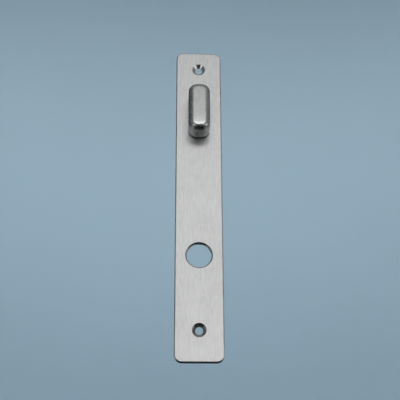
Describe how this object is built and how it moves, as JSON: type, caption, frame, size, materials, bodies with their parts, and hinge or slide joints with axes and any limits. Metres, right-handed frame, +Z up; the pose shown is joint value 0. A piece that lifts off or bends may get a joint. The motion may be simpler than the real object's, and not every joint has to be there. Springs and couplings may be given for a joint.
{
  "type": "door backplate with thumb turn",
  "caption": "Narrow satin steel door backplate with rounded corners, countersunk screw holes, an open lever hole and a block-shaped thumb turn that drives a square tail bar.",
  "frame": {"origin": "centre of the backplate's back face, the face that lies against the door", "axes": "+Z up the plate, +X to the right as seen from the front, +Y out of the back face into the door, so the visible front faces -Y"},
  "size_m": [0.0366, 0.0773, 0.2616],
  "materials": {
    "plate_steel": "satin, brushed along the plate",
    "turn_steel": "satin",
    "washer_steel": "plain, stamped",
    "zinc_plated_steel": "bright zinc plate",
    "spring_steel": "dark, oiled",
    "black_nylon": "moulded, matt",
    "white_nylon": "moulded, matt"
  },
  "bodies": {
    "plate": {"backplate": "plate_steel", "turn_bush": "black_nylon"},
    "turn": {"thumb_turn": "turn_steel", "thrust_washer": "white_nylon", "spring_washer": "spring_steel", "support_washer": "washer_steel", "retaining_circlip": "spring_steel", "tail_bar": "zinc_plated_steel", "spring_pin": "spring_steel"}
  },
  "joints": [
    {"name": "turn_pivot", "type": "hinge", "parent": "plate", "child": "turn", "pos_m": [0, 0, 0.071], "axis": [0, 1, 0], "range_deg": [-90, 90]}
  ]
}
